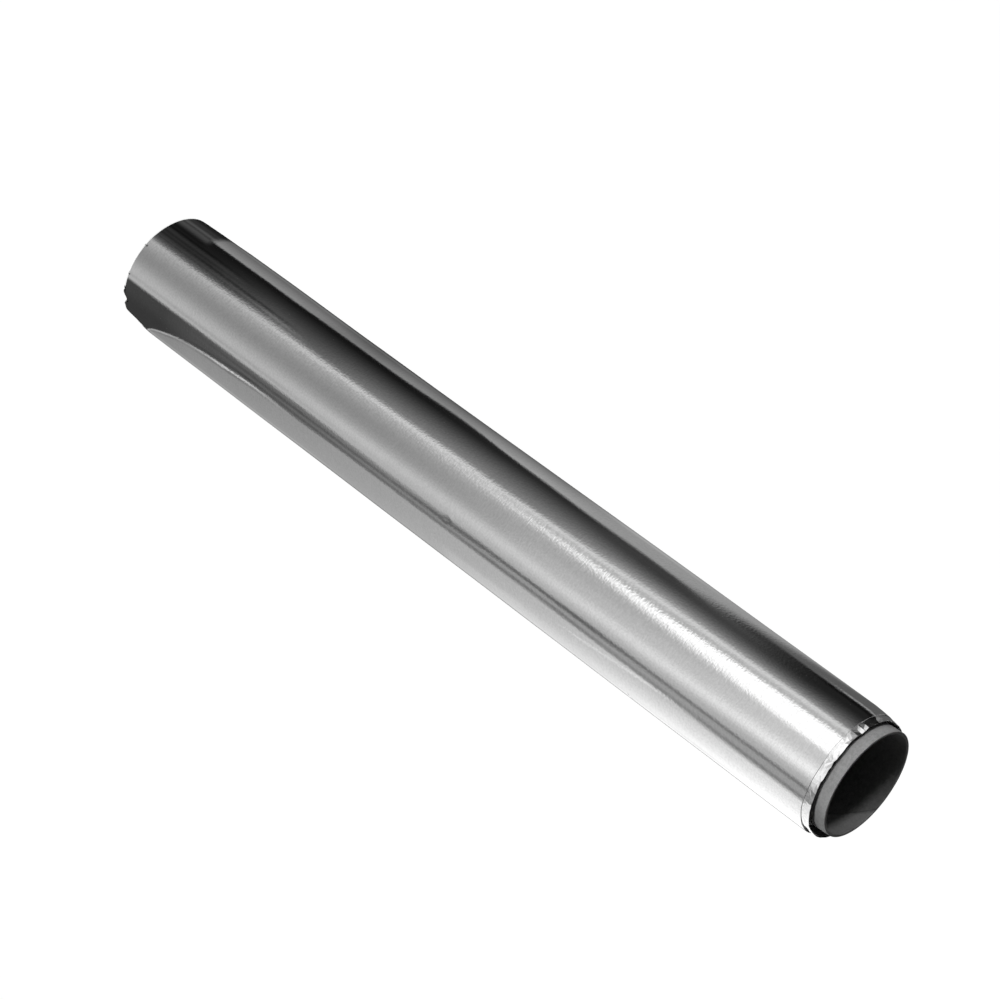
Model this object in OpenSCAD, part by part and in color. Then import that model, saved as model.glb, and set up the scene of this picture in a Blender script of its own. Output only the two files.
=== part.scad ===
// Kitchen roll of aluminium foil, wound on a thin paperboard core.
// The roll stands on its even end, z = 0, with its axis along +Z.
// The core stands out at the other end, where the turns have slipped and crumpled.
// Angles are measured round the axis from +X, towards +Y.

/* [Foil web] */
// Width of the foil web, which is the length of the wound part
web_w = 300; // [200:1:450]
// Radial thickness of everything wound on the core
wind_t = 2.5; // [2:0.1:12]
// How far the foil's free edge stands off the turn below it
tail_step = 0.15; // [0.05:0.01:0.3]
// Angle at which the free edge lies along the roll
tail_angle = 92; // [0:1:359]

/* [Open end] */
// Thickness of the outer turns, which stop at the web's edge
skin_t = 0.4; // [0.2:0.05:0.6]
// Slit between the outer turns and the crumpled rim of inner turns
skin_slit = 0.07; // [0.05:0.01:0.2]
// Thickness of the crumpled rim
rim_t = 0.5; // [0.4:0.05:0.8]
// How far the crumpled rim has slipped out past the web's edge
rim_out = 2.3; // [1:0.1:6]
// Depth to which the rim's facets are pushed in
rim_crumple = 0.3; // [0:0.05:0.5]
// Share of the open ring that the rim's top is pushed across on its pressed side
press_share = 0.55; // [0:0.05:0.8]
// Angle of that pressed side
press_angle = 272; // [0:1:359]
// Depth of the open ring between the rim and the core, from the web's edge
ring_deep = 3.5; // [1:0.1:8]

/* [Ends of the turns] */
// Radial distance from one drawn turn to the next
turn_pitch = 0.4; // [0.3:0.05:0.6]
// Width of the spiral line between two turns
line_w = 0.12; // [0.05:0.01:0.2]
// Depth of the spiral line
line_deep = 0.3; // [0.1:0.05:1]

/* [Core] */
// Bore of the core
core_bore = 34; // [20:0.5:60]
// Wall of the core
core_wall = 0.9; // [0.6:0.1:3]
// How far the core stands out past the web's edge at the open end
core_out = 6; // [4:0.5:15]
// How far the core stays inside the even end
core_in = 1; // [0.5:0.5:5]
// Bevel on the core's cut edges
core_bevel = 0.12; // [0.05:0.01:0.25]
// Radial clearance between the core and the first turn
core_fit = 0.08; // [0.03:0.01:0.2]

/* [Wear] */
// Radius of the round dent by the free edge
dent_r = 5; // [3:0.5:10]
// Depth of that dent
dent_deep = 0.3; // [0.1:0.05:0.4]
// Distance from the dent to the web's edge at the open end
dent_back = 68; // [20:1:150]
// Length of the deepest notch in the even end, along the roll
nick_long = 1.6; // [0.4:0.1:2]
// Angle of the corner that a knock has pressed flat at the even end
crush_angle = 83.5; // [0:0.5:359]
// How far that corner is pressed in at the very end, as a share of wind_t
crush_share = 0.5; // [0.2:0.05:0.8]
// How far up the roll the flat reaches
crush_high = 10.8; // [4:0.1:20]
// Angle of the middle of the worn edge at the even end
worn_angle = 13; // [0:0.5:359]
// How far in the worn edge reaches at the very end, as a share of wind_t
worn_share = 0.6; // [0.2:0.05:0.8]
// How far up the roll the worn edge reaches
worn_high = 0.8; // [0.3:0.1:2]

/* [Hidden] */
$fn = 96;
over = 1;                                   // how far a cutter reaches past what it cuts
core_r = core_bore / 2 + core_wall;
wind_in_r = core_r + core_fit;
roll_r = wind_in_r + wind_t;
skin_in_r = roll_r - skin_t;
rim_out_r = skin_in_r - skin_slit;
rim_in_r = rim_out_r - rim_t;
ring_floor = web_w - ring_deep;
rim_top = web_w + rim_out;
rim_root = ring_floor - over;               // the rim starts inside the wound solid
dent_angle = tail_angle - 16;
crush_deep = wind_t * crush_share;
worn_deep = wind_t * worn_share;
rim_press = (rim_in_r - rim_crumple - core_r) * press_share;
nick_angles = [-7, 25, 53];
nick_share = [0.4, 0.4, 1];                 // each nick's length as a share of nick_long
nick_in = [0.3, 0.3, 0.7];                  // radial depth of each nick as a share of wind_t
nick_w = [1.4, 1.4, 5.6];                   // width of each nick along the edge
rim_cols = 84;
rim_seed = 11;
rim_steps = [0, 0.35, 0.6, 0.85, 1];        // heights of the rim's rings of points, as shares

// One quarter of a spiral whose radius shrinks by shrink in a whole turn.
// Quarter q has its own centre, so that the quarters join smoothly.
function quarter_shift(q, shrink) = [[0, 0], [0, 1], [-1, 1], [-1, 0]][q % 4] * shrink / 4;

module spiral_quarter(r, q, shrink) {
    translate(quarter_shift(q, shrink))
        intersection() {
            circle(r);
            rotate(90 * q)
                square(r + over);
        }
}

// Section of the wound foil: a spiral with one step, at the free edge.
// It is moved so that its widest places lie evenly about the core's axis.
module spiral_section() {
    rotate(tail_angle)
        translate([-tail_step / 8, -tail_step * 3 / 8])
            for (q = [0:3])
                spiral_quarter(roll_r - q * tail_step / 4, q, tail_step);
}

// Spiral line between the turns, as it shows on an end, between two radii
module spiral_line(r_out, r_in) {
    quarters = floor(4 * (r_out - r_in - line_w - turn_pitch) / turn_pitch);
    rotate(tail_angle)
        for (q = [0:quarters - 1])
            difference() {
                spiral_quarter(r_out - (q + 1) * turn_pitch / 4, q, turn_pitch);
                translate(quarter_shift(q, turn_pitch))
                    circle(r_out - (q + 1) * turn_pitch / 4 - line_w);
            }
}

module ring_cut(r_out, r_in, z_low, z_high) {
    translate([0, 0, z_low])
        linear_extrude(z_high - z_low)
            difference() {
                circle(r_out);
                circle(r_in);
            }
}

// Crumpled rim of inner turns that has slipped out of the open end.
// Its walls are flat facets, pushed in by up to rim_crumple, and one side of it leans in to the core.
module crumpled_rim() {
    push = rands(0, 1, rim_cols * len(rim_steps), rim_seed);
    rise = rands(-0.5, 0.5, rim_cols, rim_seed + 1);
    rows = len(rim_steps);
    free_h = rim_top - ring_floor;
    function height(i, j) = j == 0 ? rim_root
        : ring_floor + rim_steps[j] * (free_h + rise[i] * rim_crumple);
    function pressed(i) = rim_press * pow(max(0, cos(360 * i / rim_cols - press_angle)), 6);
    function inward(i, j) = rim_crumple * push[i * rows + j] * min(1, rim_steps[j] * 2)
        + pressed(i) * rim_steps[j];
    function at(r, i, z) = [r * cos(360 * i / rim_cols), r * sin(360 * i / rim_cols), z];
    outer = [for (j = [0:rows - 1], i = [0:rim_cols - 1]) at(rim_out_r - inward(i, j), i, height(i, j))];
    inner = [for (j = [rows - 1:-1:0], i = [0:rim_cols - 1]) at(rim_in_r - inward(i, j), i, height(i, j))];
    rings = 2 * rows;
    function id(j, i) = (j % rings) * rim_cols + i % rim_cols;
    faces = [for (j = [0:rings - 1], i = [0:rim_cols - 1], half = [0, 1])
        half == 0 ? [id(j, i), id(j + 1, i), id(j, i + 1)]
                  : [id(j, i + 1), id(j + 1, i), id(j + 1, i + 1)]];
    polyhedron(concat(outer, inner), faces);
}

// Nicks in the turns' edges at the even end
module end_nicks() {
    for (k = [0:len(nick_angles) - 1])
        rotate(nick_angles[k])
            translate([roll_r - wind_t * nick_in[k], 0, 0])
                rotate([90, 0, 90])
                    linear_extrude(wind_t * nick_in[k] + over)
                        polygon([[-nick_w[k] / 2, -over], [nick_w[k] / 2, -over], [nick_w[k] / 2, 0],
                                 [nick_w[k] / 8, nick_long * nick_share[k]], [-nick_w[k] / 2, 0]]);
}

// Corner taken off the even end by a plane: it is deep at the very end and leans out to the side at high
module flat_corner(angle, deep, high) {
    rotate(angle)
        translate([roll_r - deep, 0, 0])
            rotate([0, atan(deep / high), 0])
                translate([0, -roll_r, -high])
                    cube([roll_r, 2 * roll_r, 3 * high + 2 * deep]);
}

// Dent beside the free edge
module edge_dent() {
    rotate(dent_angle)
        translate([roll_r + dent_r - dent_deep, 0, web_w - dent_back])
            sphere(dent_r);
}

module foil_winding() {
    color("silver")
        union() {
            difference() {
                linear_extrude(web_w)
                    spiral_section();
                translate([0, 0, -over])
                    cylinder(r = wind_in_r, h = web_w + 2 * over);
                ring_cut(skin_in_r, wind_in_r - over, ring_floor, web_w + over);
                translate([0, 0, -over])
                    linear_extrude(over + line_deep)
                        spiral_line(roll_r, wind_in_r);
                translate([0, 0, ring_floor - line_deep])
                    linear_extrude(line_deep + over)
                        spiral_line(rim_in_r - rim_crumple, wind_in_r);
                end_nicks();
                flat_corner(crush_angle, crush_deep, crush_high);
                flat_corner(worn_angle, worn_deep, worn_high);
                edge_dent();
            }
            crumpled_rim();
        }
}

module core_tube() {
    low = core_in;
    high = web_w + core_out;
    bore_r = core_bore / 2;
    color("gray")
        rotate_extrude()
            polygon([[bore_r + core_bevel, low], [core_r - core_bevel, low], [core_r, low + core_bevel],
                     [core_r, high - core_bevel], [core_r - core_bevel, high],
                     [bore_r + core_bevel, high], [bore_r, high - core_bevel], [bore_r, low + core_bevel]]);
}

core_tube();
foil_winding();
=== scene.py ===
"""A kitchen roll of aluminium foil on its paperboard core, stood on its even end.

Lengths are in metres and angles in degrees. Angles round the roll start at +X, which faces
the camera, and grow towards +Y. The roll's axis is +Z.
"""
import math
import random

import bpy
import numpy as np
from mathutils import Matrix, Vector


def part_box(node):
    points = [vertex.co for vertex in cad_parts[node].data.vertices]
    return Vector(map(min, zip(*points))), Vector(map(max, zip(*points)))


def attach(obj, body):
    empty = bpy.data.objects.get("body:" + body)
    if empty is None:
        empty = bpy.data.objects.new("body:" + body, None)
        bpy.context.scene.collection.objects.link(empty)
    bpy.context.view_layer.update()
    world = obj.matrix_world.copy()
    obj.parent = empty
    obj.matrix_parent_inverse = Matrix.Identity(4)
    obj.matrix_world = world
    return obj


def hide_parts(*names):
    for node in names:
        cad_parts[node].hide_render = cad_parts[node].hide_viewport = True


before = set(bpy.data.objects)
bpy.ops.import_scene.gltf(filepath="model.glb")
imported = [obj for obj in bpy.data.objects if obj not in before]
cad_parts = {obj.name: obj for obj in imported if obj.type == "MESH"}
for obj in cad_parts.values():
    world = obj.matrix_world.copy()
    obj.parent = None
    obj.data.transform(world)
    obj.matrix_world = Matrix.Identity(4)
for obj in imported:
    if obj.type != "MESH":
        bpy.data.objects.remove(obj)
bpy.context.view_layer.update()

MM = 0.001

# Sizes of the roll that the frame gives
winding_low, winding_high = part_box("foil_winding")
core_low, core_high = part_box("core_tube")
ROLL_R = (winding_high[0] - winding_low[0]) / 2
CORE_R = (core_high[0] - core_low[0]) / 2
RIM_TOP = winding_high[2]
CORE_LOW = core_low[2]
CORE_TOP = core_high[2]

# Sizes of the foil
WEB_W = 300 * MM
SHEET_T = 0.04 * MM
SHEET_R = ROLL_R - 0.06 * MM
TAIL_STEP = 0.08 * MM
SKIN_T = 0.4 * MM
RING_FLOOR = WEB_W - 3.5 * MM
WIND_IN_R = CORE_R + 0.08 * MM
TURN_PITCH = 0.3 * MM
TAIL_ANGLE_OPEN = 87.5
TAIL_ANGLE_EVEN = 94.0

# Sizes of the core
CORE_WALL = 0.9 * MM
CORE_BORE_R = CORE_R - CORE_WALL
CORE_BEVEL = 0.12 * MM

# The photograph's camera, solved from the roll's edges and ends
CAMERA_AT = Vector((833.7, 0.0, 644.1)) * MM
CAMERA_LOOKS = Vector((-0.86198, -0.00397, -0.50692))
CAMERA_RIGHT = Vector((-0.40545, -0.59483, 0.69410))
FOCAL_PX = 3151.35
PHOTO_PX = 1000
SENSOR_W = 36.0


class Signal:
    """A socket of a material's nodes, used in sums like a number."""

    def __init__(self, tree, socket=None):
        self.tree = tree
        self.socket = socket

    def node(self, kind, settings=None, inputs=None, out=0):
        """Any node: its settings are set first, then its inputs are set or linked."""
        made = self.tree.nodes.new(kind)
        for key, value in (settings or {}).items():
            setattr(made, key, value)
        for key, value in (inputs or {}).items():
            if isinstance(value, Signal):
                self.tree.links.new(value.socket, made.inputs[key])
            else:
                made.inputs[key].default_value = value
        return Signal(self.tree, made.outputs[out] if len(made.outputs) else None)

    def maths(self, operation, *values):
        return self.node("ShaderNodeMath", {"operation": operation}, dict(enumerate(values)))

    def __add__(self, other):
        return self.maths("ADD", self, other)

    def __radd__(self, other):
        return self.maths("ADD", other, self)

    def __sub__(self, other):
        return self.maths("SUBTRACT", self, other)

    def __rsub__(self, other):
        return self.maths("SUBTRACT", other, self)

    def __mul__(self, other):
        return self.maths("MULTIPLY", self, other)

    def __rmul__(self, other):
        return self.maths("MULTIPLY", other, self)

    def __truediv__(self, other):
        return self.maths("DIVIDE", self, other)

    def __rtruediv__(self, other):
        return self.maths("DIVIDE", other, self)

    def __pow__(self, other):
        return self.maths("POWER", self, other)

    def over(self, low, high):
        """0 below low and 1 above high, with a smooth rise between; low may be the larger."""
        return self.node("ShaderNodeMapRange", {"interpolation_type": "SMOOTHSTEP"},
                         {"Value": self, "From Min": low, "From Max": high})

    def ramp(self, low, high):
        """0 below low and 1 above high, in a straight line between."""
        return self.node("ShaderNodeMapRange", None, {"Value": self, "From Min": low, "From Max": high})

    def at_least(self, other):
        return self.maths("MAXIMUM", self, other)

    def bump_at(self, middle, half_width):
        """1 at middle, falling smoothly to 0 at half_width on either side."""
        return 1 - self.maths("ABSOLUTE", self - middle).over(0.0, half_width)

    def towards(self, other, share):
        """This value where share is 0, and the other where it is 1."""
        return self + (other - self) * share


def new_material(name):
    material = bpy.data.materials.new(name)
    material.use_nodes = True
    material.node_tree.nodes.clear()
    return material, Signal(material.node_tree)


def finish_material(material, start, shader):
    start.node("ShaderNodeOutputMaterial", None, {"Surface": shader})
    return material


def grey(level):
    return (level, level, level, 1)


def mixed(start, share, first, second):
    """A colour between two, each a grey level or the colour that a node gives."""
    ends = [end if isinstance(end, Signal) else grey(end) for end in (first, second)]
    return start.node("ShaderNodeMix", {"data_type": "RGBA"}, {0: share, 6: ends[0], 7: ends[1]}, out=2)


def scaled_place(start, x, y, z):
    """The point on the object, with each axis scaled, as a vector for a texture."""
    place = start.node("ShaderNodeTexCoord", out="Object")
    return start.node("ShaderNodeVectorMath", {"operation": "MULTIPLY"}, {0: place, 1: (x, y, z)})


def noise(start, vector, detail=2.0, rough=0.5):
    return start.node("ShaderNodeTexNoise", None,
                      {"Vector": vector, "Scale": 1.0, "Detail": detail, "Roughness": rough})


def parted(start):
    """The three coordinates of the point on the object."""
    place = start.node("ShaderNodeTexCoord", out="Object")
    split = start.node("ShaderNodeSeparateXYZ", None, {0: place})
    outs = split.socket.node.outputs
    return split, Signal(start.tree, outs[1]), Signal(start.tree, outs[2])


def angle_round(x, y):
    """Angle round the roll in degrees, from -180 to 180."""
    return x.maths("ARCTAN2", y, x) * (180 / math.pi)


# Where the sheet's grain is coarser, as angles round the roll
COARSE_MIDDLE = -12
COARSE_HALF = 13
# Spots of painted shade on the sheet, in two nicks and in the crease: angle, height in mm, half width in
# degrees and half height in mm
SHADE_SPOTS = [(-6.5, 1.15, 1.7, 0.6), (24.8, 0.85, 1.4, 0.6), (78.0, 230.8, 4.0, 0.5)]


def painted_shade_mask(angle, height):
    """1 in the middle of a spot of painted shade, and on the painted shadow along the torn edge by the deep
    notch.
    """
    mask = 0.0
    for middle, at, wide, tall in SHADE_SPOTS:
        mask = angle.bump_at(middle, wide) * height.bump_at(at, tall) + mask
    painted_nick_shade = angle.over(37.0, 39.5) * angle.over(60.0, 57.0)
    edge = 0.2 + 1.7 * angle.bump_at(52.0, 5.0)
    return mask + painted_nick_shade * height.over(edge + 0.9, edge + 0.5)


# Scales of the foil's textures along X, Y and Z: grain, short strokes, rolling lines and a smear
GRAIN_SCALE = (1500, 1500, 1300)
STROKE_SCALE = (450, 450, 2300)
LINE_SCALE = (60, 60, 1500)
SMEAR_SCALE = (90, 90, 300)
# Heights between which the coarse band of grain grows weaker
COARSE_FADE_LOW = 185 * MM
COARSE_FADE_HIGH = 270 * MM


def foil_material(name, roughness, grain_deep):
    """Bright rolled foil: a fine grain, faint lines round the roll and a slight change of gloss, with
    painted shade in its nicks, its crease and along its torn edge.
    """
    material, start = new_material(name)
    x, y, z = parted(start)
    angle = angle_round(x, y)
    coarse = angle.bump_at(COARSE_MIDDLE, COARSE_HALF)
    coarse = coarse * (1 - 0.55 * z.over(COARSE_FADE_LOW, COARSE_FADE_HIGH))
    grain = noise(start, scaled_place(start, *GRAIN_SCALE), 1.0, 0.5)
    strokes = noise(start, scaled_place(start, *STROKE_SCALE), 1.0, 0.5)
    lines = noise(start, scaled_place(start, *LINE_SCALE), 1.0, 0.5)
    smear = noise(start, scaled_place(start, *SMEAR_SCALE), 3.0)
    gloss = roughness + (smear - 0.5) * 0.04
    sheen = 0.5 + (grain - 0.5) * (0.9 + coarse * 0.6) + (strokes - 0.5) * (0.6 + coarse * 1.2)
    sheen = sheen + (smear - 0.5) * 0.2
    clean = mixed(start, sheen, 0.8, 0.99)
    # Painted shade: the foil turns near black in its nicks, in the crease and along the torn edge
    tone = mixed(start, painted_shade_mask(angle, z / MM), clean, 0.03)
    height = grain * (1.5 + coarse * 2.0) + strokes * (0.4 + coarse * 3.0) + lines * 0.5
    rolled = start.node("ShaderNodeBump", None,
                        {"Strength": 1.0, "Distance": grain_deep, "Height": height})
    metal = start.node("ShaderNodeBsdfPrincipled", None,
                       {"Base Color": tone, "Metallic": 1.0, "Roughness": gloss, "Normal": rolled})
    return finish_material(material, start, metal)


def shaded_foil_material():
    """The foil's dull side deep in the narrow ring by the core, painted near black as the gap's shade."""
    material, start = new_material("foil_dull_side_painted_shade")
    cloud = noise(start, scaled_place(start, 500, 500, 900), 3.0)
    # Painted shade: a near-black colour stands for the shade in the narrow ring
    tone = mixed(start, cloud.over(0.3, 0.7), 0.02, 0.05)
    dull = start.node("ShaderNodeBsdfPrincipled", None,
                      {"Base Color": tone, "Metallic": 0.6, "Roughness": 0.7 + (cloud - 0.5) * 0.2})
    return finish_material(material, start, dull)


# Where painted shade darkens the turns' edges inside the nicks and the deep notch at the even end: angle and
# half width in degrees
NICK_SHADE_PLACES = [(-6.5, 4.0), (25.0, 4.0), (50.0, 15.0)]
NICK_SHADE_LOW = 1.8 * MM
NICK_SHADE_HIGH = 2.4 * MM


def turn_ends_material():
    """Foil seen on its cut edges: fine rings, brighter and darker, that run round in a spiral, with painted
    shade inside the nicks at the even end.
    """
    material, start = new_material("foil_turn_ends")
    x, y, z = parted(start)
    turn = angle_round(x, y) / 360
    ring = (x * x + y * y) ** 0.5 / TURN_PITCH + turn
    vector = start.node("ShaderNodeCombineXYZ", None, {"X": ring * 2.7, "Y": z * 300})
    rings = 0.25 + 0.75 * noise(start, vector, 3.0, 0.7)
    angle = angle_round(x, y)
    # Painted shade: the turns' edges go dark inside the nicks and the notch, below a height near the even
    # end
    painted_nick_shade = 0.0
    for middle, wide in NICK_SHADE_PLACES:
        painted_nick_shade = angle.bump_at(middle, wide).at_least(painted_nick_shade)
    painted_nick_shade = painted_nick_shade.over(0.1, 0.5) * z.over(NICK_SHADE_HIGH, NICK_SHADE_LOW)
    tone = mixed(start, rings.over(0.3, 0.7) * (1 - painted_nick_shade), 0.03, 0.86)
    edges = start.node("ShaderNodeBump", None, {"Strength": 0.5, "Distance": 0.04 * MM, "Height": rings})
    metal = start.node("ShaderNodeBsdfPrincipled", None,
                       {"Base Color": tone, "Metallic": 1.0, "Roughness": 0.34 + (rings - 0.5) * 0.2,
                        "Normal": edges})
    return finish_material(material, start, metal)


# The seam of the core's inner ply: where it crosses +X, and how far it climbs in one turn
SEAM_START = 264.3 * MM
SEAM_PITCH = 89 * MM


def board_material():
    """Matte grey paperboard, with fibres and the slanting seam of its inner ply. The band just past the seam
    is lighter, partly the ply's own tone and partly painted light on the bore's wall.
    """
    material, start = new_material("core_paperboard")
    x, y, z = parted(start)
    turn = angle_round(x, y) / 360
    winding = (z - SEAM_START) / SEAM_PITCH - turn
    past_seam = winding - winding.maths("FLOOR", winding)
    seam = past_seam.bump_at(0.0, 0.007)
    # Painted light, in part: the lighter band past the seam also stands for the lit patch on the bore's wall
    ply_and_painted_light = past_seam.ramp(0.22, 0.0) * past_seam.over(0.0, 0.02)
    bore = ((x * x + y * y) ** 0.5).over(CORE_R - 0.3 * CORE_WALL, CORE_R - 0.7 * CORE_WALL)
    fibres = noise(start, scaled_place(start, 1100, 1100, 1500), 4.0, 0.75)
    cloud = noise(start, scaled_place(start, 140, 140, 200), 2.0)
    mottle = (fibres - 0.5) * 0.8 + (cloud - 0.5) * 0.35
    shade = 0.31 - 0.02 * bore + mottle + ply_and_painted_light * 0.55 - seam * 0.25
    tone = mixed(start, shade.ramp(0.0, 1.0), 0.155, 0.5)
    surface = start.node("ShaderNodeBump", None,
                         {"Strength": 0.6, "Distance": 0.04 * MM, "Height": fibres - seam})
    board = start.node("ShaderNodeBsdfPrincipled", None,
                       {"Base Color": tone, "Roughness": 0.85 + (fibres - 0.5) * 0.2, "Normal": surface,
                        "Specular IOR Level": 0.3})
    return finish_material(material, start, board)


def mesh_piece(name, points, faces, material, smooth=True):
    """A piece of the object from its points and faces."""
    mesh = bpy.data.meshes.new(name)
    mesh.from_pydata([tuple(p) for p in points], [], faces)
    mesh.validate()
    mesh.polygons.foreach_set("use_smooth", [smooth] * len(mesh.polygons))
    mesh.materials.append(material)
    mesh.update()
    piece = bpy.data.objects.new(name, mesh)
    bpy.context.scene.collection.objects.link(piece)
    return piece


def grid_faces(rows, columns, close_rows=False, close_columns=False, first=0):
    """Quads over a grid of points kept row by row."""
    faces = []
    for i in range(rows if close_rows else rows - 1):
        for j in range(columns if close_columns else columns - 1):
            a = i * columns + j
            b = i * columns + (j + 1) % columns
            c = ((i + 1) % rows) * columns + (j + 1) % columns
            d = ((i + 1) % rows) * columns + j
            faces.append((first + a, first + b, first + c, first + d))
    return faces


def around(radius, degrees, height):
    """Points at a radius, an angle and a height, each a number or an array."""
    radians = np.radians(degrees)
    radius, radians, height = np.broadcast_arrays(radius, radians, height)
    return np.stack([radius * np.cos(radians), radius * np.sin(radians), height], axis=-1)


def sharpen(piece, degrees):
    """Keeps shading smooth over gentle bends and breaks it at sharper edges."""
    piece.data.set_sharp_from_angle(angle=math.radians(degrees))


# Gentle waves of the wound foil, each with its own length and direction
WAVE_COUNT = 24
WAVE_HIGH = 0.0045 * MM
wave_dice = random.Random(5)
WAVES = [(wave_dice.randint(2, 9), wave_dice.uniform(30, 110) * MM, wave_dice.uniform(0, 360))
         for _ in range(WAVE_COUNT)]


def wave_height(degrees, height):
    """How far the foil lies inside its true radius because of its gentle waves."""
    total = np.zeros(np.broadcast(degrees, height).shape)
    for round_count, length, start in WAVES:
        phase = np.radians(round_count * degrees + start) + 2 * math.pi * height / length
        total += WAVE_HIGH * np.sin(phase) * 6 / (round_count + 4)
    return total


def off_angle(degrees, middle):
    """Signed distance in degrees from an angle, the short way round."""
    return np.mod(degrees - middle + 180, 360) - 180


def hollow(degrees, height, place):
    """1 at a place on the roll, falling smoothly to 0 over its half width and half height."""
    middle, at, wide, tall = place
    side = off_angle(degrees, middle) / wide
    up = (height - at * MM) / (tall * MM)
    return np.exp(-(side ** 2 + up ** 2))


# The corner that a knock has pressed flat, and the reach in degrees over which it is worked out
CRUSH_ANGLE = 83.5
CRUSH_REACH = 60
CRUSH_DEEP = 1.08 * MM
CRUSH_LEAN = 0.1045
CRUSH_SOFT = 0.06 * MM
# Small buckles on that corner: depth, height for one radian, slant and number round the roll
BUCKLE_DEEP = 0.05 * MM
BUCKLE_LONG = 1.35 * MM
BUCKLE_SLANT = 9
BUCKLE_COUNT = 16
# The crease by the free edge runs between two points, each an angle and a height in mm
CREASE_LOW = (88.0, 229.6)
CREASE_HIGH = (60.0, 234.2)
CREASE_DEEP = 0.035 * MM
CREASE_HALF = 0.5 * MM
# Where the crease is deepest and how far it reaches, as shares of the way between those points
CREASE_MIDDLE = 0.4
CREASE_REACH = 0.55
# Places on the foil, each an angle, a height in mm, a half width in degrees and a half height in mm
PINCH = (80, 231.3, 5, 0.9)
WRINKLE_RIDGE = (28.0, 154.3, 2.4, 0.8)
WRINKLE_HOLLOW = (31.5, 152.6, 3.2, 1.3)
PINCH_DEEP = 0.11 * MM
WRINKLE_HIGH = 0.045 * MM
WRINKLE_DEEP = 0.05 * MM


def creases(degrees, height):
    """How far the foil is pressed in by its small creases."""
    share = (CREASE_LOW[0] - degrees) / (CREASE_LOW[0] - CREASE_HIGH[0])
    middle = (CREASE_LOW[1] + (CREASE_HIGH[1] - CREASE_LOW[1]) * share) * MM
    along = np.exp(-((share - CREASE_MIDDLE) / CREASE_REACH) ** 4)
    crease = CREASE_DEEP * along * np.exp(-((height - middle) / CREASE_HALF) ** 2)
    pinch = PINCH_DEEP * hollow(degrees, height, PINCH)
    wrinkle = WRINKLE_DEEP * hollow(degrees, height, WRINKLE_HOLLOW)
    wrinkle -= WRINKLE_HIGH * hollow(degrees, height, WRINKLE_RIDGE)
    return crease + pinch + wrinkle


# The side away from the free edge was pressed: a narrow flat near the foot, and a broad one above
SLACK_ANGLE = -88
FLAT_TOP = 18 * MM
BROAD_FROM = 30 * MM
FLAT_WIDE = 9
BROAD_WIDE = 32
# How far that side lies inside the true circle at some heights, both in mm
SLACK_HEIGHTS = [0, 6, 8, 12, 18, 22, 45, 80, 130, 165, 205, 250, 300]
SLACK_DEPTHS = [0.34, 0.32, 0.22, 0.18, 0.13, 0.03, 0.0, 0.22, 0.24, 0.14, 0.02, 0.08, 0.04]
# The same side leans in at the open end, from a height up to the strip's top
LEAN_LOW = 294 * MM
LEAN_DEEP = 0.72 * MM
LEAN_WIDE = 27
LEAN_BEND = 1.3


def slack(degrees, height):
    """How far the foil lies inside the true circle on the side that was pressed."""
    deep = np.interp(height, np.array(SLACK_HEIGHTS) * MM, np.array(SLACK_DEPTHS) * MM)
    side = off_angle(degrees, SLACK_ANGLE)
    wide = np.interp(height, [FLAT_TOP, BROAD_FROM], [FLAT_WIDE, BROAD_WIDE])
    lean = LEAN_DEEP * np.clip((height - LEAN_LOW) / (RIM_TOP - LEAN_LOW), 0, 1) ** LEAN_BEND
    return deep * np.exp(-(side / wide) ** 2) + lean * np.exp(-(side / LEAN_WIDE) ** 2)


def pressed_flat(radius, degrees, height, inside=0.0):
    """The radius after a knock has pressed the corner at the even end flat, with small buckles."""
    away = np.radians(np.clip(off_angle(degrees, CRUSH_ANGLE), -CRUSH_REACH, CRUSH_REACH))
    buckle = np.sin(height / BUCKLE_LONG + away * BUCKLE_SLANT) * np.cos(away * BUCKLE_COUNT + 1)
    buckle = BUCKLE_DEEP * buckle
    flat = (ROLL_R - CRUSH_DEEP + CRUSH_LEAN * height + buckle - inside) / np.cos(away)
    past = (radius - flat) / CRUSH_SOFT
    return radius - CRUSH_SOFT * np.logaddexp(0, past)


# Nicks in the outer turn's edge at the even end: angle, height in mm and half width in degrees
NICKS = [(-6.5, 0.5, 1.2), (25, 0.5, 1.2), (41, 0.5, 1.2), (59.4, 0.8, 1.4), (63, 0.7, 2.0)]
# How much steeper than a plain V the sides of a nick are
NICK_STEEP = 1.6
# How high the worn edge lies at some angles, in mm, with the torn notch at its end
WORN_ANGLES = [-30, -20, -10, 0, 9, 15, 20, 24, 27, 31, 38, 39.5, 43, 45, 48.2, 51.3, 53, 56, 58, 60, 70]
WORN_HEIGHTS = [0.03, 0.03, 0.1, 0.25, 0.42, 0.56, 0.62, 0.45, 0.1, 0.03, 0.03, 0.1, 0.06, 0.1,
                1.2, 1.95, 1.95, 1.2, 0.3, 0.1, 0.03]
# How rough the worn edge is, where it lies higher than a limit, both in mm
ROUGH_HIGH = 0.03
ROUGH_FROM = 0.1


def worn_edge(degrees):
    """Height of the turns' worn edges at the even end."""
    worn = np.interp(off_angle(degrees, 0), WORN_ANGLES, WORN_HEIGHTS)
    rough = ROUGH_HIGH * (np.sin(np.radians(37 * degrees)) + np.sin(np.radians(89 * degrees + 50)))
    return (worn + rough * (worn > ROUGH_FROM)) * MM


def even_edge(degrees):
    """Height of the outer turn's edge at the even end, worn and nicked."""
    low = worn_edge(degrees)
    for angle, long, wide in NICKS:
        side = np.abs(off_angle(degrees, angle))
        low = np.maximum(low, long * MM * np.clip(NICK_STEEP * (1 - side / wide), 0, 1))
    return low


# How far the outer turn's edge lies inside the web's edge at the open end
OPEN_EDGE_IN = 0.4 * MM


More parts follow.
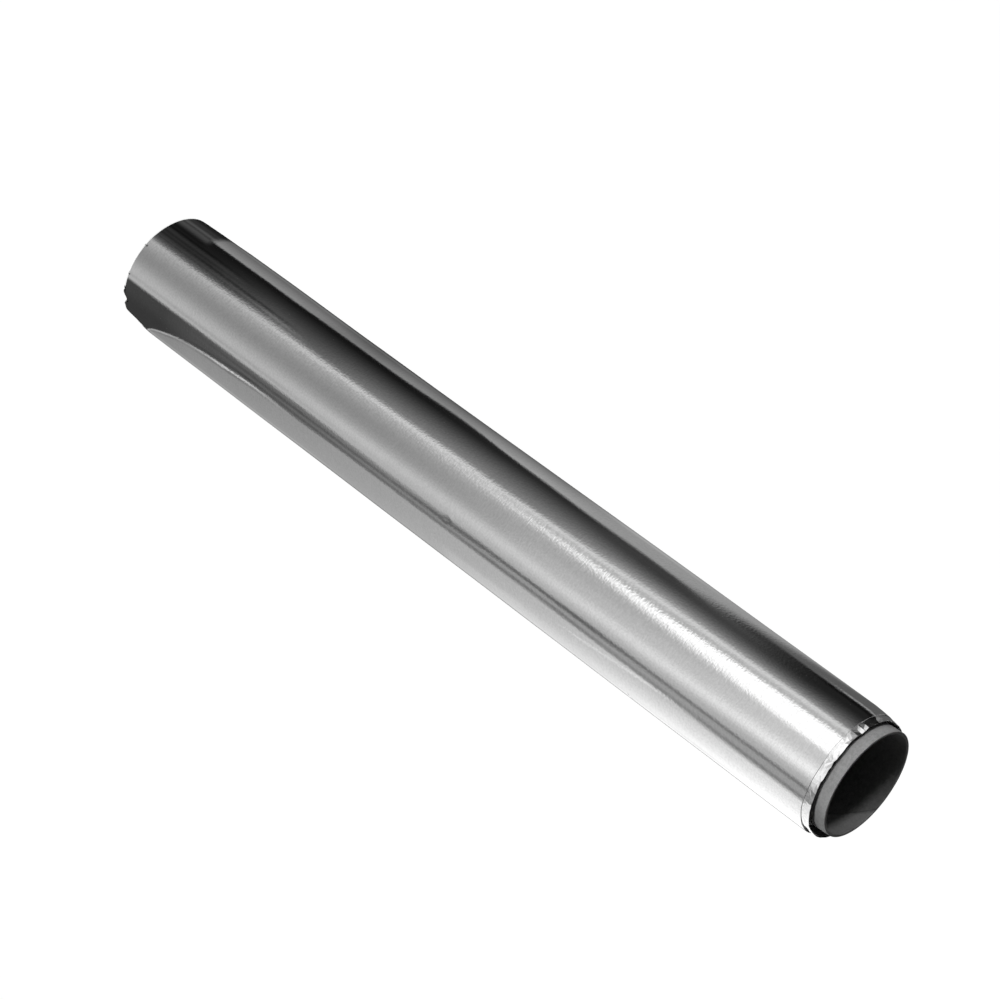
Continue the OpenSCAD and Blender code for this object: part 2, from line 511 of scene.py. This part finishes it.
def open_edge(degrees):
    """Height of the outer turn's edge at the open end, in gentle waves."""
    wobble = 0.1 * np.sin(np.radians(5 * degrees + 40)) + 0.06 * np.sin(np.radians(13 * degrees))
    return WEB_W - OPEN_EDGE_IN + wobble * MM


# Bands of the outer turn with rows of points closer together: middle and half width in mm
FINE_BANDS = [(5, 7), (153, 4), (232, 4.5), (299, 1.5)]
FINE_TIMES = 14


def row_shares(count):
    """Shares of the web's width for rows of points, closer together where the foil is worn."""
    fine = np.linspace(0, 1, 3001)
    weight = np.ones_like(fine)
    for middle, half in FINE_BANDS:
        weight += FINE_TIMES * (np.abs(fine * WEB_W - middle * MM) < half * MM)
    total = np.cumsum(weight)
    return np.interp(np.linspace(total[0], total[-1], count), total, fine)


def outer_turn(material):
    """The last turn of the web, from its free edge round to where it runs under itself."""
    sweep = 384
    columns = 410
    rows = 110
    sweep_at = np.linspace(0, sweep, columns)[:, None]
    share = row_shares(rows)[None, :]
    tail = TAIL_ANGLE_EVEN + (TAIL_ANGLE_OPEN - TAIL_ANGLE_EVEN) * share
    angle = tail + sweep_at
    low = even_edge(angle)
    high = open_edge(angle)
    height = low + (high - low) * share
    deeper = TAIL_STEP * sweep_at / 360
    radius = SHEET_R - deeper
    radius = radius - creases(angle, height) - wave_height(angle, height) - slack(angle, height)
    radius = pressed_flat(radius, angle, height, deeper)
    outside = around(radius, angle, height)
    inside = around(radius - SHEET_T, angle, height)
    loop = np.concatenate([outside, inside[:, ::-1]], axis=1)
    points = loop.reshape(-1, 3)
    faces = grid_faces(columns, 2 * rows, close_columns=True)
    for end in (0, columns - 1):
        for i in range(rows - 1):
            a = end * 2 * rows + i
            b = end * 2 * rows + i + 1
            c = end * 2 * rows + 2 * rows - 2 - i
            d = end * 2 * rows + 2 * rows - 1 - i
            faces.append((a, b, c, d) if end else (d, c, b, a))
    piece = mesh_piece("foil_outer_turn", points, faces, material)
    sharpen(piece, 50)
    return piece


# Greatest step in height from one turn's edge to the next, and the share of a turn that it takes
RIDGE_HIGH = 0.16 * MM
RIDGE_SHARE = 0.25
# Turns after which the heights repeat, which is more than are drawn
RIDGE_TURNS = 40


def turn_ridges(radius, degrees, seed):
    """Height of the turns' edges: each turn ends at its own height, and the edge runs in a spiral."""
    dice = np.random.default_rng(seed)
    heights = dice.uniform(0, 1, RIDGE_TURNS)
    place = (ROLL_R - radius) / TURN_PITCH + degrees / 360 + 2
    whole = np.floor(place)
    part = place - whole
    a = heights[whole.astype(int) % RIDGE_TURNS]
    b = heights[(whole.astype(int) + 1) % RIDGE_TURNS]
    step = np.clip((part - (1 - RIDGE_SHARE)) / RIDGE_SHARE, 0, 1)
    return (a + (b - a) * step) * RIDGE_HIGH


# Heights of the rows of points on the wound turns' side, in mm, from the top down
SIDE_ROWS = [296, 290, 236, 233.5, 232, 230.5, 228, 205, 165, 156, 153.5, 151, 130, 80, 45, 22, 14, 11, 9,
             7, 5.5, 4, 3, 2.3]
# Rows of points on the even end, on the open ring's floor and on the outer turns' edges
EVEN_ROWS = 34
RING_ROWS = 22
SKIN_ROWS = 6
# How far the wound turns keep inside the outer turn: their side and their pressed corner
SIDE_IN = 0.4 * MM
CORNER_IN = 0.22 * MM
# How far the open ring's wall lies inside the outer turns, and how far their edges keep below the web's edge
SKIN_IN = 0.28 * MM
EDGE_IN = 1.4 * MM
# How much lower the worn edge lies for each unit of depth into the roll
WORN_SLOPE = 0.8
# How far the turns' edges keep over the floor, and how far they sink below the open ring's floor
EVEN_LIFT = 0.02 * MM
RING_SUNK = 0.3 * MM
# Height at which the radius of the even end is read
EVEN_CORNER = 0.5 * MM


def wound_body(material):
    """Everything wound under the outer turn, with the edges of its turns at both ends."""
    columns = 360
    degrees = (np.arange(columns) * 360 / columns)[None, :]
    out_r = ROLL_R - SIDE_IN
    skin_in = ROLL_R - SKIN_T - SKIN_IN

    def side_r(height):
        depth = creases(degrees, height) + slack(degrees, height)
        return pressed_flat(out_r - depth, degrees, height, CORNER_IN)

    even_share = np.linspace(1, 0, EVEN_ROWS)[:, None]
    even_r = WIND_IN_R + (side_r(EVEN_CORNER) - WIND_IN_R) * even_share
    worn = worn_edge(degrees) - WORN_SLOPE * (ROLL_R - even_r)
    even_z = np.maximum(EVEN_LIFT + turn_ridges(even_r, degrees, 3), worn)
    ring_r = np.linspace(WIND_IN_R, skin_in, RING_ROWS)[:, None] + 0 * degrees
    ring_z = RING_FLOOR - RING_SUNK + 2 * turn_ridges(ring_r, degrees, 4)
    skin_z = WEB_W - EDGE_IN + 0 * degrees
    skin_share = np.linspace(0, 1, SKIN_ROWS)[:, None]
    skin_r = skin_share * (out_r - skin_in) + skin_in - slack(degrees, skin_z)
    skin_z = skin_z + turn_ridges(skin_r, degrees, 6)
    side_z = np.array(SIDE_ROWS)[:, None] * MM + 0 * degrees
    rings = [around(even_r, degrees, even_z), around(ring_r, degrees, ring_z),
             around(skin_r, degrees, skin_z), around(side_r(side_z), degrees, side_z)]
    points = np.concatenate(rings, axis=0)
    rows = points.shape[0]
    faces = grid_faces(rows, columns, close_rows=True, close_columns=True)
    piece = mesh_piece("foil_wound_turns", points.reshape(-1, 3), faces, material)
    sharpen(piece, 40)
    return piece


# Where the slipped-out turns are crumpled hardest, and where they stand off the outer turn
HARD_MIDDLE = -37
HARD_HALF = 12
HARD_TIMES = 3.2
STAND_OFF_ANGLE = 84
STAND_OFF = 0.3 * MM
STAND_OFF_HALF = 11
# Two sharp folds near the top of the strip: angle of each column of points and how far it is pushed in
FOLD_ANGLES = [-43.2, -39.3, -38.0, -34.3, -30.0]
FOLD_DEPTHS = [0.0, 0.44, 0.08, 0.5, 0.2]
# Share of a fold's depth on each row of points, from the bottom up
FOLD_ROWS = [0.0, 0.2, 0.4, 0.9, 1.0]
# The folds begin at this column of points, counted from the last
FOLD_FROM_END = 12
STRIP_COLUMNS = 96
# How far points stray from their even places, as shares of a step along the strip and of its height
STRAY_ROUND = 0.38
STRAY_UP = 0.1
# The same for the strip's top edge, downwards and upwards
TOP_DOWN = 0.06
TOP_UP = 0.03
# How fast the crumples grow with height: at 1.5 they are full at two thirds of it
CRUMPLE_RISE = 1.5
# The strips lie further in on the free edge's side. The change is about an angle, over a half width
TAIL_SIDE_IN = 0.11 * MM
TAIL_SIDE_ANGLE = 5
TAIL_SIDE_HALF = 10
# How far a strip leans in towards its top
STRIP_LEAN = 0.1 * MM


def crumpled_strip(name, radius, low, high, spread, seed, material, folded=False):
    """A strip of an inner turn that has slipped out: flat facets that meet in random creases."""
    dice = np.random.default_rng(seed)
    columns = STRIP_COLUMNS
    rows = len(FOLD_ROWS)
    step = 360 / columns
    stray = dice.uniform(-STRAY_ROUND, STRAY_ROUND, (rows, columns))
    degrees = np.arange(columns)[None, :] * step + stray * step
    share = np.linspace(0, 1, rows)[:, None] + dice.uniform(-STRAY_UP, STRAY_UP, (rows, columns))
    share[0] = 0
    share[-1] = 1 + dice.uniform(-TOP_DOWN, TOP_UP, columns)
    height = low + (high - low) * share
    hard = 1 + HARD_TIMES * np.exp(-(off_angle(degrees, HARD_MIDDLE) / HARD_HALF) ** 4)
    push = dice.uniform(-1.0, 0.0, (rows, columns)) * spread * hard * np.clip(share * CRUMPLE_RISE, 0, 1)
    if folded:
        first = columns - FOLD_FROM_END
        for k, (angle, deep) in enumerate(zip(FOLD_ANGLES, FOLD_DEPTHS)):
            degrees[:, first + k] = angle + 360
            push[:, first + k] = -deep * MM * np.array(FOLD_ROWS)
    away = STAND_OFF * np.exp(-(off_angle(degrees, STAND_OFF_ANGLE) / STAND_OFF_HALF) ** 2)
    tail_side = (off_angle(degrees, TAIL_SIDE_ANGLE) + TAIL_SIDE_HALF) / (2 * TAIL_SIDE_HALF)
    away = away + TAIL_SIDE_IN * np.clip(tail_side, 0, 1)
    lean = STRIP_LEAN * share + slack(degrees, height)
    edge_r = radius + push - away - lean
    outside = around(edge_r, degrees, height)
    inside = around(edge_r - SHEET_T, degrees, height)
    points = np.concatenate([outside, inside[::-1]], axis=0)
    quads = grid_faces(2 * rows, columns, close_rows=True, close_columns=True)
    faces = []
    for a, b, c, d in quads:
        if dice.uniform() < 0.5:
            faces += [(a, b, c), (a, c, d)]
        else:
            faces += [(a, b, d), (b, c, d)]
    return mesh_piece(name, points.reshape(-1, 3), faces, material, smooth=False)


# How far the core's free end leans over in the ring
CORE_LEAN = 0.55 * MM
# How deep the core's mouth is worn, and the height at its end that the wear moves
MOUTH_WEAR = 0.03 * MM
MOUTH_HIGH = 1 * MM
# How far the mouth lies below the solid's, and how far both faces of the wall lie further in
MOUTH_IN = 0.02 * MM
WALL_IN = 0.01 * MM
# How far from the ends the tube's extra rings of points lie
END_STRETCH = 20 * MM
MOUTH_STRETCH = 3 * MM


def core_tube(material):
    """The paperboard tube, with its bevelled cut edges, a slightly uneven mouth and a slight lean."""
    columns = 256
    degrees = (np.arange(columns) * 360 / columns)[None, :]
    dice = np.random.default_rng(9)
    fuzz = np.convolve(np.tile(dice.uniform(-1, 1, columns), 3), np.ones(3) / 3, "same")
    top_wear = MOUTH_WEAR * np.abs(fuzz[columns:2 * columns])[None, :]
    low, high, bevel = CORE_LOW, CORE_TOP - MOUTH_IN, CORE_BEVEL
    side_heights = [low + bevel, low + END_STRETCH, high - END_STRETCH, RING_FLOOR, high - MOUTH_STRETCH,
                    high - bevel]
    profile = [(CORE_R, height) for height in side_heights]
    profile += [(CORE_R - bevel, high), (CORE_R - CORE_WALL / 3, high)]
    profile += [(CORE_R - CORE_WALL * 2 / 3, high), (CORE_BORE_R + bevel, high)]
    profile += [(CORE_BORE_R, height) for height in reversed(side_heights)]
    profile += [(CORE_BORE_R + bevel, low), (CORE_R - bevel, low)]
    rings = []
    for radius, height in profile:
        wear = top_wear if height > high - MOUTH_HIGH else 0 * top_wear
        ring = around(radius - WALL_IN, degrees, height - wear)
        ring[..., 1] -= CORE_LEAN * max(0.0, (height - RING_FLOOR) / (high - RING_FLOOR))
        rings.append(ring)
    points = np.concatenate(rings, axis=0)
    faces = grid_faces(len(profile), columns, close_rows=True, close_columns=True)
    piece = mesh_piece("core_paper_tube", points.reshape(-1, 3), [f[::-1] for f in faces], material)
    sharpen(piece, 30)
    return piece


# Tones of the glowing cards, a painted reflection for the foil, as grey levels from 0 to 255, by the roll's
# angle and height. Each card runs out from the roll's foot, so its edge shows on the foil as a line along
# the roll.
LOWEST_TONE = 2.0
FULL_TONE = 255
# Power that turns a share of the full tone into light, and the share of light that foil sends back
TONE_POWER = 2.2
MIRROR = 0.9


def panel_tone(angle, height):
    """The grey panel at the right, which fades high up."""
    tone = 123 - 14 * height.bump_at(88.0, 24.0) + 22 * height.over(100.0, 170.0)
    tone = tone + (angle + 60) * 2.1 * height.over(205.0, 165.0)
    tone = tone - 13 * angle.over(-79.0, -86.0) * height.over(12.0, 25.0)
    patch = height.over(8.0, 30.0) * height.over(125.0, 98.0) + 0.75 * height.bump_at(208.0, 45.0)
    tone = tone + 23 * angle.bump_at(-75.5, 5.5) * patch
    tone = tone - 14 * angle.bump_at(-74.0, 9.0) * height.bump_at(276.0, 20.0)
    fade_at = 260 - (angle + 66) * 1.9
    tone = tone.towards(88, height.over(fade_at - 18, fade_at + 14))
    tone = tone - 9 * height.bump_at(71.0, 16.0) * angle.bump_at(-55.5, 4.5)
    return tone + 58 * angle.bump_at(-61.3, 2.5) * height.over(283.0, 290.0)


def panel_edge(height):
    edge = -52.1 - 3.9 * height.bump_at(132.0, 32.0) + 1.2 * height.bump_at(188.0, 30.0)
    edge = edge - 1.2 * height.bump_at(94.0, 52.0) - 1.3 * height.bump_at(168.0, 40.0)
    edge = edge + 2.0 * height.bump_at(246.0, 15.0)
    edge = edge + 3 * height.bump_at(236.0, 11.0) - 7 * height.over(241.0, 255.0)
    return edge - 0.8 * height.over(289.0, 297.0) - 0.4 * height.bump_at(130.0, 25.0)


def foot_tone(angle, height):
    """The dark strip by the roll's foot."""
    tone = 36 + 36 * angle.bump_at(-50.0, 10.0) - 14 * angle.bump_at(-41.0, 7.0)
    tone = tone - 12 * angle.bump_at(-53.0, 2.5)
    return tone + 30 * angle.bump_at(-56.5, 5.0) + 16 * angle.bump_at(-63.0, 8.0)


def dark_tone(angle, height):
    """The dark cards, brighter towards the camera, with thin streaks near the foot."""
    beyond = (angle + 48).at_least(0.0)
    low = 27 + 21 * height.over(90.0, 200.0) + 9 * height.bump_at(248.0, 30.0)
    low = low - 12 * height.over(262.0, 282.0)
    low = low + 12 * angle.bump_at(-48.0, 6.5) * height.over(185.0, 205.0) * height.over(268.0, 255.0)
    slope = 0.6 + 1.9 * height.over(15.0, 60.0) + 0.8 * height.over(70.0, 110.0)
    slope = slope - 3.0 * height.over(175.0, 250.0) + 2.6 * height.over(276.0, 296.0)
    bend = 0.2 * height.over(178.0, 240.0) + 0.07 * height.over(250.0, 280.0)
    bend = bend - 0.14 * height.over(280.0, 296.0)
    streaks = 14 * angle.bump_at(-33.0, 3.4) * height.over(45.0, 28.0)
    streaks = streaks - 9 * angle.bump_at(-37.0, 2.2) * height.over(52.0, 20.0)
    streaks = streaks + 8 * angle.bump_at(-28.3, 2.2) * height.over(48.0, 30.0)
    streaks = streaks + 10 * angle.bump_at(-24.6, 1.3) * height.over(45.0, 30.0)
    streaks = streaks - 10 * angle.bump_at(-21.5, 1.3) * height.over(68.0, 55.0)
    deep = 13 + 12 * height.bump_at(51.0, 16.0)
    near_foot = height.over(15.0, 35.0) * height.over(72.0, 60.0)
    streaks = streaks - deep * angle.bump_at(-26.0, 2.2) * near_foot
    streaks = streaks + 26 * angle.bump_at(-20.0, 5.5) * height.over(44.0, 18.0)
    thin = 8 + 18 * height.bump_at(60.0, 14.0)
    streaks = streaks + thin * angle.bump_at(-22.8, 2.0) * height.over(80.0, 66.0)
    streaks = streaks - 14 * angle.over(-53.5, -56.5) * height.over(274.0, 284.0)
    return low + beyond * slope + beyond * beyond * bend + streaks


def front_edge(height):
    edge = -15.6 - 2.0 * height.over(25.0, 70.0) - 11 * height.ramp(100.0, 300.0)
    return edge - 0.8 * height.over(115.0, 95.0) - 0.7 * height.over(205.0, 240.0)


def front_tone(angle, height):
    """The broad bright card before the roll, with a painted lamp highlight in it."""
    tone = 171 - 36 * angle.bump_at(2.5, 19.0) * height.over(230.0, 95.0)
    crest = 4 + 56 * height.ramp(100.0, 296.0)
    tone = tone + crest * angle.bump_at(18 - 2.5 * height.over(220.0, 300.0), 10.5)
    tone = tone + 20 * height.over(215.0, 300.0) * angle.bump_at(2.5, 13.0)
    tone = tone + 11 * height.over(165.0, 195.0) * angle.bump_at(7.0, 8.0)
    tone = tone - 9 * height.over(100.0, 60.0) * angle.bump_at(24.0, 2.5)
    tone = tone + 34 * height.over(40.0, 125.0) * angle.bump_at(front_edge(height) + 2.2, 4.2)
    tone = tone + 16 * height.over(105.0, 165.0) * angle.bump_at(-12.5, 5.0)
    tone = tone + 16 * height.bump_at(178.0, 55.0) * angle.bump_at(-11.5, 8.0)
    tone = tone + 10 * angle.bump_at(-14.0, 3.5) * height.over(15.0, 35.0) * height.over(110.0, 80.0)
    tone = tone + 9 * height.bump_at(104.0, 38.0) * angle.bump_at(18.5, 7.0)
    tone = tone - 7 * angle.bump_at(25.0, 1.6) * height.over(15.0, 25.0) * height.over(110.0, 85.0)
    tone = tone + 12 * height.over(245.0, 285.0) * angle.bump_at(-1.0, 4.5)
    tone = tone + 12 * height.over(276.0, 297.0) * angle.bump_at(19.0, 10.0)
    # Painted highlight: a band where the card glows brighter than white, in place of a lamp's reflection
    upper = -13.3 - 7.6 * height.ramp(205.0, 300.0) - 0.7 * height.bump_at(260.0, 22.0)
    lower = -11.0 + 8.4 * height.ramp(205.0, 280.0) ** 0.8
    soft = 4.2 + 1.5 * height.bump_at(248.0, 22.0) - 2.2 * height.ramp(240.0, 300.0)
    lamp = angle.over(upper - 2.2, upper + 1.6) * angle.over(lower + soft, lower - soft)
    return tone.towards(262, lamp * height.over(165.0, 225.0))


def gap_tone(angle, height):
    """The grey gap, with two thin darker streaks."""
    tone = 66 + 84 * height.ramp(20.0, 190.0) ** 0.8
    first = 31.3 + 1.8 * height.over(186.0, 146.0) + 0.4 * height.bump_at(212.0, 28.0)
    first = first + 0.7 * height.over(155.0, 125.0)
    deep = 26 + 18 * height.bump_at(190.0, 50.0) + 13 * height.over(145.0, 200.0)
    deep = deep + 12 * height.bump_at(215.0, 26.0) + 14 * height.bump_at(150.0, 28.0)
    wide = 2.5 + 0.9 * height.bump_at(215.0, 26.0) + 0.9 * height.bump_at(160.0, 24.0)
    second = 38.8 - 1.0 * height.bump_at(190.0, 30.0) + 0.8 * height.over(245.0, 262.0)
    second = second + 0.5 * height.over(262.0, 278.0)
    second_deep = 22 + 16 * height.over(162.0, 172.0) * height.over(219.0, 208.0)
    second_deep = second_deep + 9 * height.over(256.0, 276.0)
    streaks = deep * angle.bump_at(first, wide) + second_deep * angle.bump_at(second, 2.6)
    tone = tone - streaks * height.over(25.0, 90.0)
    tone = tone - 8 * angle.over(36.0, 52.0) * height.over(60.0, 20.0)
    dip = angle.bump_at(sheet_edge(height) - 2.8, 2.1)
    return tone - 15 * dip * height.over(30.0, 42.0) * height.over(72.0, 62.0)


def sheet_edge(height):
    far = 41.1 + 2.3 * height.over(243.0, 272.0) + 0.7 * height.bump_at(256.0, 14.0)
    edge = (31 + 650 / (height + 5)).at_least(far)
    edge = edge + 0.8 * height.bump_at(56.0, 14.0) + 1.3 * height.bump_at(86.0, 20.0)
    return edge + 0.5 * height.bump_at(48.0, 20.0) + 0.8 * height.bump_at(20.0, 9.0)


def sheet_tone(angle, height):
    """The pale sheet, brighter away from the foot."""
    tone = 137 + 87 * height.ramp(30.0, 290.0) ** 1.5
    tone = tone + (angle - 48).at_least(0.0) * (0.25 + 1.75 * height.over(150.0, 250.0))
    tone = tone + 12 * angle.over(56.0, 64.0) * height.over(148.0, 158.0) * height.over(215.0, 180.0)
    tone = tone - 14 * angle.bump_at(76.0, 9.0) * height.over(190.0, 230.0)
    tone = tone - 42 * angle.over(78.0, 85.0) * height.over(60.0, 100.0)
    tone = tone - 18 * angle.bump_at(77.0, 5.0) * height.bump_at(262.0, 25.0)
    tone = tone - 6 * height.over(36.0, 22.0)
    tone = tone - 12 * angle.bump_at(45.0, 3.2) * height.bump_at(248.0, 22.0)
    # Painted glint: a thin bright slanting line in the sheet's reflection
    glint_line = angle + (height - 212) * 0.2286
    tone = tone + 52 * glint_line.bump_at(48.7, 1.0) * height.over(203.0, 212.0) * height.over(247.0, 238.0)
    tone = tone + 14 * angle.bump_at(76.0, 4.0) * height.over(112.0, 85.0)
    edge = sheet_edge(height)
    rim = 12 + 58 * height.bump_at(54.0, 26.0)
    rim = rim + 14 * height.over(34.0, 22.0) + 14 * height.bump_at(20.0, 9.0)
    lines = rim * angle.bump_at(edge + 1.1, 2.0) - 0.4 * rim * angle.bump_at(edge + 3.6, 2.0)
    return tone + lines * height.over(88.0, 68.0)


def card_tones(angle, height):
    """Grey level that the foil shows to the camera at an angle and a height, and the wall's own."""
    tone = dark_tone(angle, height)
    tone = tone.towards(foot_tone(angle, height), height.over(17.2, 14.2) * angle.over(-38.0, -44.0))
    edge = panel_edge(height)
    soft = 1.4 + 1.2 * height.over(150.0, 170.0) - 1.2 * height.over(262.0, 280.0)
    soft = soft + 3 * height.bump_at(250.0, 16.0) + 1.1 * height.bump_at(130.0, 28.0)
    panel_share = angle.over(edge + soft, edge - soft) * height.over(13.7, 17.0)
    tone = tone.towards(panel_tone(angle, height), panel_share)
    edge = front_edge(height)
    soft = 4.4 - 2.9 * height.ramp(10.0, 290.0)
    tone = tone.towards(front_tone(angle, height), angle.over(edge - soft, edge + soft))
    late = 0.8 * height.bump_at(266.0, 24.0) + 0.4 * height.over(35.0, 15.0)
    late = late - 0.4 * height.bump_at(85.0, 28.0) + 0.4 * height.bump_at(130.0, 20.0)
    tone = tone.towards(gap_tone(angle, height), angle.over(27.1 + late, 30.7 + late))
    edge = sheet_edge(height)
    soft = 0.9 + 1.8 * height.over(235.0, 270.0)
    tone = tone.towards(sheet_tone(angle, height), angle.over(edge - soft, edge + soft))
    wall = 244 - 26 * angle.over(55.0, 75.0) - 115 * angle.bump_at(34.0, 14.0)
    return tone.towards(wall, height.over(302.0, 315.0) * angle.over(-30.0, -20.0))


def reflect_to_floor(degrees, height):
    """Where the floor point lies that the foil shows to the camera at an angle and a height."""
    at = around(ROLL_R, degrees, height)
    ray = at - np.array(CAMERA_AT)
    normal = around(1.0, degrees, height * 0)
    ray = ray - 2 * (ray * normal).sum(axis=-1, keepdims=True) * normal
    reach = at[..., 2:] / -ray[..., 2:]
    return at + ray * reach


# The cards lie just over the floor, serve the roll from a low height up, and end in a wall, in metres
CARDS_FROM = 0.2 * MM
CARD_COLUMNS = 241
CARD_ROWS = 61
CARD_LIFT = 0.3 * MM
CARD_WALL_R = 1.1
CARD_WALL_HIGH = 0.75
# Heights that the cards' layout gives to the wall's foot and top, as shares of the web's width
WALL_SHARES = [1.05, 1.1]


def painted_reflection_cards():
    """Glowing cards on the studio floor and standing round it, which only the foil's gloss can see: a
    painted reflection, laid out by the roll's angle and height from the camera's view.
    """
    material, start = new_material("glowing_reflection_cards")
    layout = start.node("ShaderNodeUVMap", {"uv_map": "layout"})
    split = start.node("ShaderNodeSeparateXYZ", None, {0: layout})
    angle = split * 180 - 90
    height = Signal(start.tree, split.socket.node.outputs[1]) * (WEB_W / MM)
    tone = card_tones(angle, height.at_least(1.0))
    # Painted reflection: each card glows with the tone that the foil is to show there
    light = (tone.at_least(LOWEST_TONE) / FULL_TONE) ** TONE_POWER / MIRROR
    glow = start.node("ShaderNodeEmission", None, {"Strength": light})
    finish_material(material, start, glow)

    degrees = np.linspace(-90, 90, CARD_COLUMNS)[None, :]
    heights = np.linspace(CARDS_FROM, WEB_W, CARD_ROWS)[:, None]
    floor = reflect_to_floor(degrees + 0 * heights, heights + 0 * degrees)
    floor[..., 2] = CARD_LIFT
    away = floor[-1:, :, :2] / np.linalg.norm(floor[-1:, :, :2], axis=-1, keepdims=True)
    foot = np.concatenate([away * CARD_WALL_R, np.full_like(away[..., :1], CARD_LIFT)], axis=-1)
    top = foot + np.array([0, 0, CARD_WALL_HIGH])
    points = np.concatenate([floor, foot, top], axis=0)
    faces = grid_faces(points.shape[0], CARD_COLUMNS)
    mesh = bpy.data.meshes.new("glowing_reflection_cards")
    mesh.from_pydata([tuple(p) for p in points.reshape(-1, 3)], [], faces)
    layer = mesh.uv_layers.new(name="layout")
    share = np.concatenate([heights[:, 0] / WEB_W, WALL_SHARES])
    for loop in mesh.loops:
        row, column = divmod(loop.vertex_index, CARD_COLUMNS)
        layer.data[loop.index].uv = (column / (CARD_COLUMNS - 1), share[row])
    mesh.materials.append(material)
    cards = bpy.data.objects.new("glowing_reflection_cards", mesh)
    bpy.context.scene.collection.objects.link(cards)
    for ray in ("camera", "diffuse", "transmission", "volume_scatter", "shadow"):
        setattr(cards, "visible_" + ray, False)


def seen_directly(start):
    """1 for a ray from the camera, off gloss or through glass, and 0 for the light's own rays."""
    path = start.node("ShaderNodeLightPath", out="Is Camera Ray")
    outs = path.socket.node.outputs
    gloss = Signal(start.tree, outs["Is Glossy Ray"])
    glass = Signal(start.tree, outs["Is Transmission Ray"])
    return path.at_least(gloss).at_least(glass)


# Half the floor's side in metres, and how bright the floor looks before the lamps add their part
FLOOR_HALF = 6.0
FLOOR_GLOW = 0.985


def floor_and_backdrop():
    """A plain pale floor that looks white and keeps a faint shadow."""
    material, start = new_material("pale_floor")
    plain = start.node("ShaderNodeBsdfDiffuse", None, {"Color": grey(0.8)})
    faint = start.node("ShaderNodeBsdfDiffuse", None, {"Color": grey(0.1)})
    glow = start.node("ShaderNodeEmission", None, {"Strength": FLOOR_GLOW})
    white = start.node("ShaderNodeAddShader", None, {0: faint, 1: glow})
    mixed = start.node("ShaderNodeMixShader", None, {0: seen_directly(start), 1: plain, 2: white})
    finish_material(material, start, mixed)
    half = FLOOR_HALF
    corners = [(-half, -half, 0), (half, -half, 0), (half, half, 0), (-half, half, 0)]
    mesh = bpy.data.meshes.new("floor")
    mesh.from_pydata(corners, [], [(0, 1, 2, 3)])
    mesh.materials.append(material)
    floor = bpy.data.objects.new("floor", mesh)
    bpy.context.scene.collection.objects.link(floor)


# Light that the white sky gives, apart from what is seen of it
AMBIENT = 0.0096


def world_light():
    world = bpy.data.worlds.new("studio")
    world.use_nodes = True
    tree = world.node_tree
    tree.nodes.clear()
    start = Signal(tree)
    level = AMBIENT + (1 - AMBIENT) * seen_directly(start)
    sky = start.node("ShaderNodeBackground", None, {"Color": grey(1), "Strength": level})
    start.node("ShaderNodeOutputWorld", None, {"Surface": sky})
    bpy.context.scene.world = world


def softbox(name, azimuth, distance, middle, wide, tall, power):
    """A standing softbox that faces the roll, in degrees, metres and watts."""
    data = bpy.data.lights.new(name, "AREA")
    data.shape = "RECTANGLE"
    data.size = wide
    data.size_y = tall
    data.energy = power
    lamp = bpy.data.objects.new(name, data)
    radians = math.radians(azimuth)
    lamp.location = (distance * math.cos(radians), distance * math.sin(radians), middle)
    facing = Vector((-lamp.location.x, -lamp.location.y, 0))
    lamp.rotation_euler = facing.to_track_quat("-Z", "Y").to_euler()
    bpy.context.scene.collection.objects.link(lamp)
    lamp.visible_camera = False
    lamp.visible_glossy = False


def photo_camera():
    data = bpy.data.cameras.new("photo_camera")
    data.sensor_width = SENSOR_W
    data.lens = FOCAL_PX / PHOTO_PX * SENSOR_W
    data.clip_start = 0.05
    camera = bpy.data.objects.new("photo_camera", data)
    back = -CAMERA_LOOKS.normalized()
    right = CAMERA_RIGHT - CAMERA_RIGHT.dot(back) * back
    right.normalize()
    up = back.cross(right)
    turn = Matrix((right, up, back)).transposed()
    camera.matrix_world = Matrix.Translation(CAMERA_AT) @ turn.to_4x4()
    bpy.context.scene.collection.objects.link(camera)
    bpy.context.scene.camera = camera


photo_camera()

foil = foil_material("bright_foil", roughness=0.08, grain_deep=0.01 * MM)
rim_foil = foil_material("crumpled_foil", roughness=0.1, grain_deep=0.006 * MM)
shaded_foil = shaded_foil_material()
turn_ends = turn_ends_material()
board = board_material()

foil_pieces = [
    outer_turn(foil),
    wound_body(turn_ends),
    crumpled_strip("foil_rim_outer", radius=SHEET_R - 0.13 * MM, low=WEB_W - 1.3 * MM,
                   high=RIM_TOP - 0.09 * MM, spread=0.07 * MM, seed=21, material=rim_foil, folded=True),
    crumpled_strip("foil_rim_inner", radius=SHEET_R - 0.58 * MM, low=RING_FLOOR,
                   high=RIM_TOP - 0.4 * MM, spread=0.01 * MM, seed=33, material=shaded_foil),
]
for piece in foil_pieces:
    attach(piece, "root")
    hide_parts("foil_winding")

tube = core_tube(board)
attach(tube, "root")
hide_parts("core_tube")

painted_reflection_cards()
floor_and_backdrop()
world_light()
softbox("key_softbox", azimuth=-46, distance=0.9, middle=0.42, wide=0.5, tall=0.09, power=1.7)
softbox("front_softbox", azimuth=-10, distance=0.9, middle=0.272, wide=1.0, tall=0.1, power=6.6)
softbox("fill_softbox", azimuth=70, distance=1.0, middle=0.25, wide=0.7, tall=0.12, power=3.0)
softbox("back_softbox", azimuth=190, distance=1.3, middle=0.25, wide=0.9, tall=0.12, power=3.0)
bpy.context.scene.view_settings.view_transform = "Standard"
